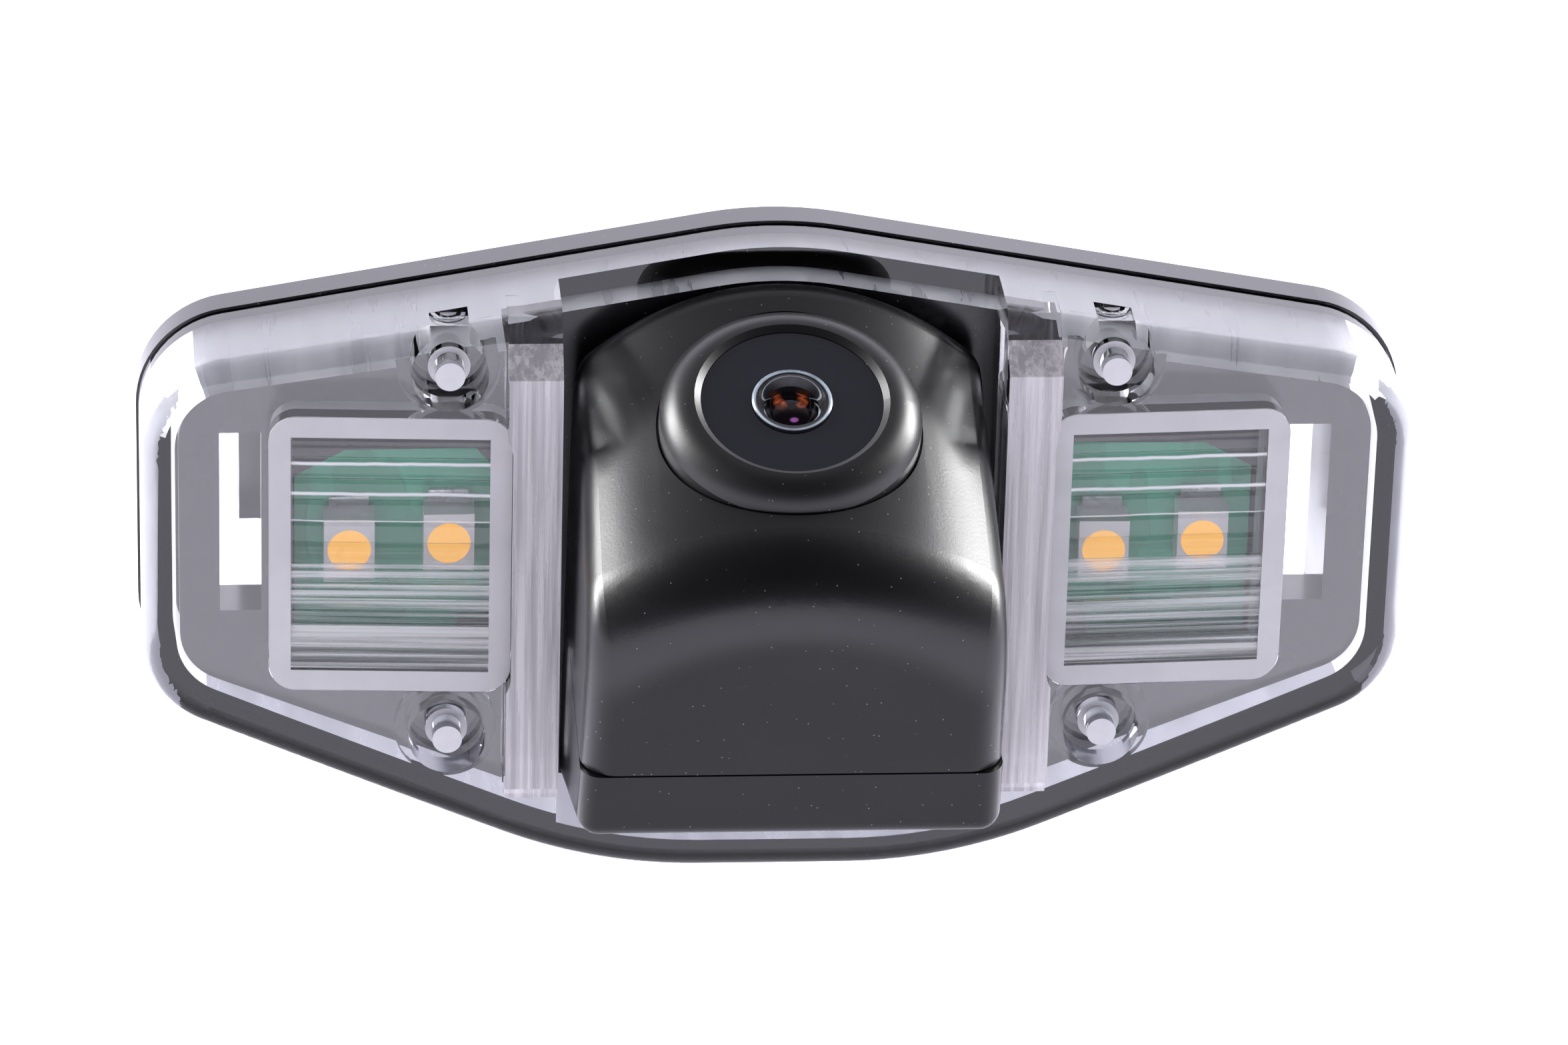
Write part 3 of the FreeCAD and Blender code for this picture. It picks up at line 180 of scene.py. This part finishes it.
class Shader(Tree):
    """A material, with short ways to set its shader from object coordinates."""

    def __init__(self, name):
        self.material = bpy.data.materials.new(name)
        self.material.use_nodes = True
        super().__init__(self.material.node_tree)
        self.bsdf = self.tree.nodes["Principled BSDF"]
        self.place = self.add("ShaderNodeTexCoord").outputs["Object"]

    def set(self, **values):
        """Constants on the shader's own sockets, with _ for the spaces in their names."""
        for key, value in values.items():
            self.bsdf.inputs[key.replace("_", " ")].default_value = value

    def drive(self, name, source):
        """Links one of the shader's own sockets."""
        self.link(source, self.bsdf.inputs[name])

    def stretched(self, scale):
        """Object coordinates scaled along each axis."""
        node = self.add("ShaderNodeMapping")
        node.inputs["Scale"].default_value = scale
        self.link(self.place, node.inputs["Vector"])
        return node.outputs["Vector"]

    def noise(self, scale, detail, at=None):
        node = self.add("ShaderNodeTexNoise")
        node.inputs["Scale"].default_value = scale
        node.inputs["Detail"].default_value = detail
        node.inputs["Roughness"].default_value = 0.55
        self.link(at or self.place, node.inputs["Vector"])
        return node.outputs["Fac"]

    def specks(self, scale, size):
        """1 in small round spots scattered at random, 0 elsewhere."""
        node = self.add("ShaderNodeTexVoronoi", feature="F1")
        node.inputs["Scale"].default_value = scale
        self.link(self.place, node.inputs["Vector"])
        near = self.ramp(node.outputs["Distance"], size * 0.6, size, 1, 0)
        rare = self.ramp(node.outputs["Color"], 0.70, 0.72, 0, 1)
        return self.math("MULTIPLY", near, rare)

    def line(self, distance, place, full, gone, top=1):
        """Bright where a distance is within full of a place, 0 from gone out."""
        away = self.math("ABSOLUTE", self.math("SUBTRACT", distance, place))
        return self.ramp(away, full, gone, top, 0)

    def from_eye(self, middle):
        """Distance from a point, measured in the eye's tilted plane."""
        across, _, up = self.split(self.place)
        dx = self.math("SUBTRACT", across, middle[0])
        dz = self.math("DIVIDE", self.math("SUBTRACT", up, middle[1]), EYE_SLOPE)
        return self.length(dx, dz)

    def spot(self, middle, radius):
        """1 in the middle of a soft round spot on the eye, 0 from its radius out."""
        return self.ramp(self.from_eye(middle), radius * 0.5, radius, 1, 0)

    def mix(self, factor, a, b):
        """Colour a where factor is 0 and b where it is 1."""
        node = self.add("ShaderNodeMix", data_type="RGBA")
        self.link(factor, node.inputs["Factor"])
        for name, value in (("A", a), ("B", b)):
            socket = [s for s in node.inputs if s.name == name and s.type == "RGBA"][0]
            if isinstance(value, tuple):
                socket.default_value = (*value, 1)
            else:
                self.link(value, socket)
        return [s for s in node.outputs if s.type == "RGBA"][0]

    def colour(self, source):
        self.drive("Base Color", source)

    def rough(self, source):
        self.drive("Roughness", source)

    def mottle(self, scale, detail, dark, pale):
        """Base colour that wanders between two tones."""
        self.colour(self.mix(self.noise(scale, detail), dark, pale))

    def wear(self, scale, detail, smooth, dull):
        """Roughness that wanders between two values."""
        self.rough(self.ramp(self.noise(scale, detail), 0.3, 0.7, smooth, dull))

    def bump(self, height, distance):
        """Relief with a real height in metres."""
        node = self.add("ShaderNodeBump")
        node.inputs["Distance"].default_value = distance
        node.inputs["Strength"].default_value = 1.0
        self.link(height, node.inputs["Height"])
        self.drive("Normal", node.outputs["Normal"])


def dress(names, shader):
    """Gives CAD nodes one material."""
    for name in names:
        slots = NODES[name].data.materials
        slots.clear()
        slots.append(shader.material)


def paint(names, shader, chosen):
    """Gives one more material to the faces of CAD nodes whose middle and normal pass a test."""
    for name in names:
        mesh = NODES[name].data
        mesh.materials.append(shader.material)
        slot = len(mesh.materials) - 1
        for face in mesh.polygons:
            if chosen(face.center, face.normal):
                face.material_index = slot


def on_pillar_front(middle, normal):
    """The pillars' faces towards the front, proud of the cover's face."""
    between = PILLAR_X[0] < abs(middle.x) < PILLAR_X[1]
    return between and middle.y < PILLAR_FRONT and normal.y < -0.5


def in_top_wall(middle, normal):
    """The inner side of the clear cover's upper wall."""
    return middle.z > TOP_WALL_Z - TOP_WALL_FALL * abs(middle.x) and normal.z < -0.6


def in_low_wall(middle, normal):
    """The inner side of the clear cover's lower wall."""
    return middle.z < LOW_WALL_Z + LOW_WALL_RISE * abs(middle.x) and normal.z > 0.5


def in_end_wall(middle, normal):
    """The inner side of the clear cover's two end walls."""
    inward = normal.x * middle.x < 0
    return abs(middle.x) > END_WALL_X and inward and abs(normal.x) > 0.5


def on_end_skin(middle, normal):
    """The outer skin of the clear cover's two ends and its rounded edge."""
    outward = normal.x * middle.x > 0
    return abs(middle.x) > END_SKIN_X and outward and abs(normal.x) > 0.3 and normal.z < 0.5


def on_pin(middle, normal):
    """The four pins standing in the wells."""
    across = abs(middle.x) - PIN_X
    return min(math.hypot(across, middle.z - z) for z in PIN_Z) < PIN_RADIUS and normal.y < -0.3


def on_ribs(middle, normal):
    """The front of a prism lens's ribs."""
    return normal.y < -0.5 and abs(abs(middle.x) - PRISM_X) < PRISM_HALF_X


def on_upper_ribs(middle, normal):
    """The ribs above the lamps."""
    return on_ribs(middle, normal) and middle.z >= HAZE_TOP


def on_lower_ribs(middle, normal):
    """The ribs from just under the lamps down."""
    return on_ribs(middle, normal) and middle.z < HAZE_TOP


def on_prism_frame(middle, normal):
    """A prism lens's rim: its front band and its outer walls."""
    across = abs(abs(middle.x) - PRISM_X) < PRISM_HALF_X
    return not (across and PRISM_Z[0] < middle.z < PRISM_Z[1])


def black_moulding(name, dark, rough, grain):
    """Black plastic with faint mottling, a fine skin and dust."""
    s = Shader(name)
    pale = tuple(c * 1.6 + 0.002 for c in dark)
    base = s.mix(s.noise(180, 4), dark, pale)
    s.colour(s.mix(s.specks(2600, 0.13), base, (0.16, 0.16, 0.17)))
    streak = s.noise(60, 5, at=s.stretched((1, 1, 3)))
    s.rough(s.ramp(streak, 0.3, 0.7, rough - 0.05, rough + 0.05))
    s.bump(s.noise(6000, 2), grain)
    return s


def clear_moulding(name, rough, tint):
    """Polished clear plastic with faint flow waves."""
    s = Shader(name)
    s.set(Base_Color=(*tint, 1), Transmission_Weight=1.0, IOR=PLASTIC_IOR)
    s.rough(s.ramp(s.noise(90, 5), 0.35, 0.75, rough, rough + 0.03))
    s.bump(s.noise(140, 2), 0.00002)
    return s


def gloss_disc():
    """Dark bluish gloss of the disc round the lens."""
    s = Shader("disc_gloss")
    s.mottle(300, 3, (0.006, 0.0065, 0.011), (0.009, 0.010, 0.016))
    s.wear(120, 4, 0.10, 0.16)
    return s


def barrel_black():
    """Matt black metal of the lens barrel."""
    s = Shader("barrel_black")
    s.mottle(800, 2, (0.006, 0.006, 0.006), (0.012, 0.012, 0.012))
    s.wear(900, 2, 0.45, 0.6)
    return s


def filter_glass():
    """Thin violet-tinted glass."""
    s = Shader("lens_glass")
    s.set(Base_Color=(0.72, 0.66, 0.80, 1), Transmission_Weight=1.0, IOR=GLASS_IOR)
    s.wear(500, 2, 0.0, 0.02)
    return s


def glass_with_painted_glints():
    """Dark glass with painted glints that glow: orange reflections at left and right and a violet one below
    the middle.
    """
    s = Shader("lens_painted_glints")
    side_glints = s.math("MAXIMUM", s.spot(LEFT_PAINTED_GLINT, SIDE_PAINTED_GLINT_RADIUS), s.spot(RIGHT_PAINTED_GLINT, SIDE_PAINTED_GLINT_RADIUS))
    patchy_glints = s.ramp(s.noise(2200, 3), 0.40, 0.62, 0.15, 1.0)
    painted_tone = s.mix(s.math("MULTIPLY", side_glints, patchy_glints), (0.004, 0.002, 0.003), (0.55, 0.11, 0.035))
    painted_tone = s.mix(s.spot(LOW_PAINTED_GLINT, LOW_PAINTED_GLINT_RADIUS), painted_tone, (0.38, 0.12, 0.42))
    s.colour(painted_tone)
    s.drive("Emission Color", painted_tone)
    s.set(Emission_Strength=0.45, Roughness=0.08, IOR=GLASS_IOR)
    return s


def ring_with_painted_highlights():
    """Black ring with a painted highlight, made to glow, along its outer and inner rims."""
    s = Shader("lens_ring")
    out = s.from_eye((0, RING_Z))
    edge_highlights = s.math("MAXIMUM", s.line(out, *RING_OUTER_HIGHLIGHT), s.line(out, *RING_INNER_HIGHLIGHT, top=0.7))
    painted_highlight = s.math("MULTIPLY", edge_highlights, s.ramp(s.noise(900, 2), 0.3, 0.7, 0.5, 1.0))
    painted_tone = s.mix(painted_highlight, (0.006, 0.006, 0.008), (0.34, 0.40, 0.47))
    s.colour(painted_tone)
    s.drive("Emission Color", painted_tone)
    s.set(Emission_Strength=0.45)
    s.wear(2500, 2, 0.25, 0.35)
    return s


def pillar_streaks():
    """Clear wall full of fine upright moulding lines that scatter the light."""
    s = Shader("pillar_streaks")
    wide = s.noise(900, 4, at=s.stretched((1, 1, 0.02)))
    fine = s.noise(3600, 3, at=s.stretched((1, 1, 0.03)))
    both = s.math("MULTIPLY", s.math("ADD", wide, fine), 0.5)
    bands = s.ramp(both, 0.40, 0.60, 0, 1)
    s.colour(s.mix(bands, (0.55, 0.52, 0.55), (0.97, 0.94, 0.96)))
    s.set(Transmission_Weight=0.35, IOR=PLASTIC_IOR)
    s.rough(s.ramp(fine, 0.35, 0.65, 0.18, 0.34))
    s.bump(both, 0.00006)
    return s


def hazy_wall():
    """Clear wall with a pale haze of fine lines, as drawn from the mould."""
    s = Shader("hazy_wall")
    lines = s.noise(700, 4, at=s.stretched((1, 0.08, 0.08)))
    s.colour(s.mix(lines, (0.40, 0.40, 0.46), (0.72, 0.72, 0.80)))
    s.set(Transmission_Weight=0.5, IOR=PLASTIC_IOR)
    s.rough(s.ramp(lines, 0.35, 0.65, 0.25, 0.40))
    s.bump(lines, 0.00002)
    return s


def end_wall_painted_glow():
    """Inner end wall, with a painted glow standing in for the light that runs along it."""
    s = Shader("end_wall_painted_glow")
    cloud = s.noise(500, 3, at=s.stretched((1, 1, 0.2)))
    s.colour(s.mix(cloud, (0.80, 0.80, 0.84), (0.95, 0.95, 0.98)))
    s.set(Transmission_Weight=0.2, IOR=GLASS_IOR)
    s.set(Emission_Color=(0.97, 0.98, 1.0, 1), Emission_Strength=0.7)
    s.rough(s.ramp(cloud, 0.3, 0.7, 0.2, 0.4))
    return s


def bright_pin():
    """Rough-moulded pin that catches the light."""
    s = Shader("bright_pin")
    cloud = s.noise(900, 3)
    s.colour(s.mix(cloud, (0.72, 0.72, 0.74), (0.95, 0.95, 0.97)))
    s.set(Transmission_Weight=0.2, IOR=GLASS_IOR)
    s.rough(s.ramp(cloud, 0.3, 0.7, 0.3, 0.5))
    return s


def cloudy_edge():
    """Outer skin of the clear ends, a little clouded."""
    s = Shader("cloudy_edge")
    cloud = s.noise(300, 4)
    s.colour(s.mix(cloud, (0.36, 0.36, 0.40), (0.52, 0.52, 0.57)))
    s.set(Transmission_Weight=0.5, IOR=PLASTIC_IOR)
    s.rough(s.ramp(cloud, 0.35, 0.65, 0.12, 0.25))
    s.bump(s.noise(500, 3), 0.00001)
    return s


def prism_streaks():
    """Lower prism ribs, whose level moulding lines scatter the light."""
    s = Shader("prism_streaks")
    fine = s.noise(3000, 3, at=s.stretched((0.008, 0.008, 1)))
    bands = s.ramp(fine, 0.42, 0.60, 0, 1)
    s.colour(s.mix(bands, (0.80, 0.82, 0.82), (1.0, 1.0, 1.0)))
    s.drive("Transmission Weight", s.ramp(bands, 0, 1, 0.92, 0.45))
    s.rough(s.ramp(fine, 0.40, 0.62, 0.06, 0.35))
    s.bump(fine, 0.00008)
    s.set(IOR=GLASS_IOR)
    return s


def prism_painted_highlights():
    """Upper prism ribs, clear but for painted highlight lines, level and wavering a little."""
    s = Shader("prism_painted_highlights")
    up = s.split(s.place)[2]
    level = s.math("ADD", up, s.ramp(s.noise(300, 2), 0.3, 0.7, -0.00004, 0.00004))
    painted_highlight = s.line(level, PRISM_HIGHLIGHT_LINES[0], *PRISM_HIGHLIGHT_WIDTH)
    for z in PRISM_HIGHLIGHT_LINES[1:]:
        painted_highlight = s.math("MAXIMUM", painted_highlight, s.line(level, z, *PRISM_HIGHLIGHT_WIDTH))
    s.colour(s.mix(painted_highlight, (0.98, 0.985, 0.99), (0.95, 0.96, 0.97)))
    s.drive("Transmission Weight", s.ramp(painted_highlight, 0, 1, 1.0, 0.1))
    s.rough(s.ramp(painted_highlight, 0, 1, 0.02, 0.3))
    s.set(IOR=GLASS_IOR)
    return s


def frosted_frame():
    """Satin white edge of a prism lens."""
    s = Shader("frosted_frame")
    s.mottle(260, 4, (0.62, 0.61, 0.62), (0.86, 0.85, 0.87))
    s.set(Transmission_Weight=0.3, IOR=GLASS_IOR)
    s.wear(900, 3, 0.35, 0.5)
    s.bump(s.noise(700, 3), 0.00002)
    return s


def board_green():
    """Green lacquer over raised copper tracks."""
    s = Shader("board_green")
    tracks = s.ramp(s.noise(260, 2, at=s.stretched((1, 1, 0.35))), 0.49, 0.51, 0, 1)
    s.colour(s.mix(tracks, (0.010, 0.36, 0.18), (0.020, 0.46, 0.25)))
    s.wear(900, 2, 0.3, 0.42)
    s.bump(tracks, 0.00003)
    return s


def package_white():
    """White moulded plastic of the lamp packages and the socket."""
    s = Shader("package_white")
    s.mottle(900, 3, (0.88, 0.88, 0.87), (0.95, 0.95, 0.94))
    s.wear(1200, 2, 0.35, 0.5)
    return s


def phosphor_yellow():
    """Yellow filling of the lamps, with a small painted glow."""
    s = Shader("phosphor_yellow")
    s.mottle(1500, 3, (0.95, 0.42, 0.04), (1.0, 0.52, 0.08))
    s.set(Emission_Color=(1.0, 0.50, 0.06, 1), Emission_Strength=0.55)
    s.wear(900, 2, 0.25, 0.4)
    return s


def solder():
    """Bright tin with an uneven skin."""
    s = Shader("solder")
    s.set(Metallic=1.0)
    s.mottle(700, 3, (0.62, 0.62, 0.64), (0.78, 0.78, 0.80))
    s.wear(1500, 3, 0.2, 0.4)
    s.bump(s.noise(1800, 2), 0.00003)
    return s


def chip_black():
    """Matt black resin of the chips."""
    s = Shader("chip_black")
    s.mottle(1500, 3, (0.02, 0.02, 0.022), (0.035, 0.035, 0.038))
    s.wear(2500, 2, 0.5, 0.65)
    return s


def capacitor_tan():
    """Tan ceramic."""
    s = Shader("capacitor_tan")
    s.mottle(1500, 3, (0.42, 0.30, 0.18), (0.52, 0.38, 0.24))
    s.wear(900, 2, 0.4, 0.55)
    return s


def gasket_rubber():
    """Dull black rubber."""
    s = Shader("gasket_rubber")
    s.mottle(400, 4, (0.012, 0.012, 0.012), (0.025, 0.025, 0.024))
    s.wear(900, 3, 0.6, 0.75)
    s.bump(s.noise(2500, 3), 0.00001)
    return s


def screw_steel():
    """Zinc-plated steel."""
    s = Shader("screw_steel")
    s.set(Metallic=1.0)
    s.mottle(700, 3, (0.50, 0.50, 0.52), (0.64, 0.64, 0.66))
    s.wear(1200, 4, 0.25, 0.4)
    s.bump(s.noise(2200, 2), 0.000008)
    return s


def dress_housing():
    """Base, latch, rear cover, rubber pieces and screws."""
    housing = black_moulding("housing_black", (0.010, 0.010, 0.012), 0.20, 0.0000012)
    dress(["base_housing", "latch_arm", "rear_cover"], housing)
    dress(["panel_gasket", "cable_gland", "bezel_seal"], gasket_rubber())
    dress(["camera_board_screws", "hump_screws", "rear_cover_screws"], screw_steel())


def dress_camera():
    """Camera hump, its bezel and everything in its eye."""
    hump = black_moulding("camera_black", (0.0030, 0.0030, 0.0036), 0.31, 0.000004)
    dress(["camera_front_shell", "camera_lower_cap"], hump)
    bezel = black_moulding("bezel_black", (0.005, 0.005, 0.0055), 0.38, 0.000002)
    dress(["lens_bezel"], bezel)
    dress(["eye_disc"], gloss_disc())
    # the retaining ring carries painted highlights along its rims
    dress(["lens_retaining_ring"], ring_with_painted_highlights())
    dress(["lens_barrel", "lens_spacer", "lens_holder"], barrel_black())
    dress(["ir_filter"], filter_glass())
    # the front and inner lens glass carry painted glints
    dress(["front_lens_element", "inner_lens_elements"], glass_with_painted_glints())


def dress_cover():
    """Clear cover, with its streaked pillars, hazy walls, a painted glow on the inner end walls, and pins.
    """
    cover = ["outer_lens"]
    dress(cover, clear_moulding("clear_cover", 0.01, (0.985, 0.99, 1.0)))
    paint(cover, pillar_streaks(), on_pillar_front)
    haze = hazy_wall()
    paint(cover, haze, in_top_wall)
    paint(cover, haze, in_low_wall)
    # the inner end walls carry a painted glow
    paint(cover, end_wall_painted_glow(), in_end_wall)
    paint(cover, bright_pin(), on_pin)
    paint(cover, cloudy_edge(), on_end_skin)


def dress_prisms():
    """Prism lenses, with their ribs, painted highlight lines on the upper ribs, and frosted rims."""
    dress(PRISMS, clear_moulding("prism_clear", 0.02, (0.98, 0.985, 0.99)))
    paint(PRISMS, prism_streaks(), on_lower_ribs)
    # the upper ribs carry painted highlight lines
    paint(PRISMS, prism_painted_highlights(), on_upper_ribs)
    paint(PRISMS, frosted_frame(), on_prism_frame)


def dress_boards():
    """Lamp boards and camera board with what is on them."""
    dress(["left_led_board", "right_led_board", "camera_board"], board_green())
    dress(["led_bodies", "board_connector"], package_white())
    # the lamps' phosphor carries a small painted glow
    dress(["led_phosphors"], phosphor_yellow())
    dress(["led_solder_pads", "crystal"], solder())
    dress(["led_resistors", "video_processor", "image_sensor"], chip_black())
    dress(["board_capacitors"], capacitor_tan())


def make_sky():
    """Bright tent behind and below the horizon, a dim ceiling and a dark front."""
    world = bpy.data.worlds.new("studio")
    bpy.context.scene.world = world
    world.use_nodes = True
    sky = Tree(world.node_tree)
    background = sky.tree.nodes["Background"]
    _, along, up = sky.split(sky.add("ShaderNodeTexCoord").outputs["Generated"])
    overhead = sky.ramp(along, *OVERHEAD_FADE, FRONT, OVERHEAD, "SMOOTHSTEP")
    behind = sky.ramp(along, *TENT_FADE, 0.0, TENT, "SMOOTHSTEP")
    horizon = sky.ramp(up, *HORIZON_FADE, TENT, 0.0, "SMOOTHSTEP")
    level = sky.math("MAXIMUM", overhead, sky.math("MAXIMUM", behind, horizon))
    sky.link(level, background.inputs["Strength"])
    background.inputs["Color"].default_value = (*LIGHT_TINT, 1)


def make_boxes():
    """A soft box off each end, a little behind the lamp."""
    for side in (-1, 1):
        data = bpy.data.lights.new("box", "AREA")
        data.shape = "RECTANGLE"
        data.size, data.size_y = BOX_SIZE
        data.energy = BOX_POWER
        light = bpy.data.objects.new("box", data)
        toward = Vector((side * BOX_TOWARD[0], BOX_TOWARD[1], BOX_TOWARD[2])).normalized()
        light.location = toward * BOX_DISTANCE
        light.rotation_euler = toward.to_track_quat("Z", "Y").to_euler()
        bpy.context.scene.collection.objects.link(light)


def paper_with_painted_shade():
    """Table top that glows, dimmer near the lamp as a painted shadow and brighter further out."""
    s = Shader("paper")
    s.set(Base_Color=(0.06, 0.06, 0.063, 1), Roughness=0.9)
    s.set(Emission_Color=(*LIGHT_TINT, 1))
    across, along, _ = s.split(s.place)
    # painted shadow: the glow is weaker near the lamp
    glow = s.ramp(s.length(across, along), *TABLE_FADE, TABLE_NEAR_SHADED, TABLE_FAR)
    s.drive("Emission Strength", glow)
    return s


def make_table():
    """The wide pale table that the lamp is seen over."""
    corners = [(x * TABLE_REACH, y * TABLE_REACH, TABLE_Z) for x, y in ((-1, -1), (1, -1), (1, 1), (-1, 1))]
    mesh = bpy.data.meshes.new("floor")
    mesh.from_pydata(corners, [], [(0, 1, 2, 3)])
    mesh.materials.append(paper_with_painted_shade().material)
    floor = bpy.data.objects.new("floor", mesh)
    bpy.context.scene.collection.objects.link(floor)


make_camera()
dress_housing()
dress_camera()
dress_cover()
dress_prisms()
dress_boards()
make_sky()
make_boxes()
make_table()
bpy.context.scene.view_settings.view_transform = "Standard"
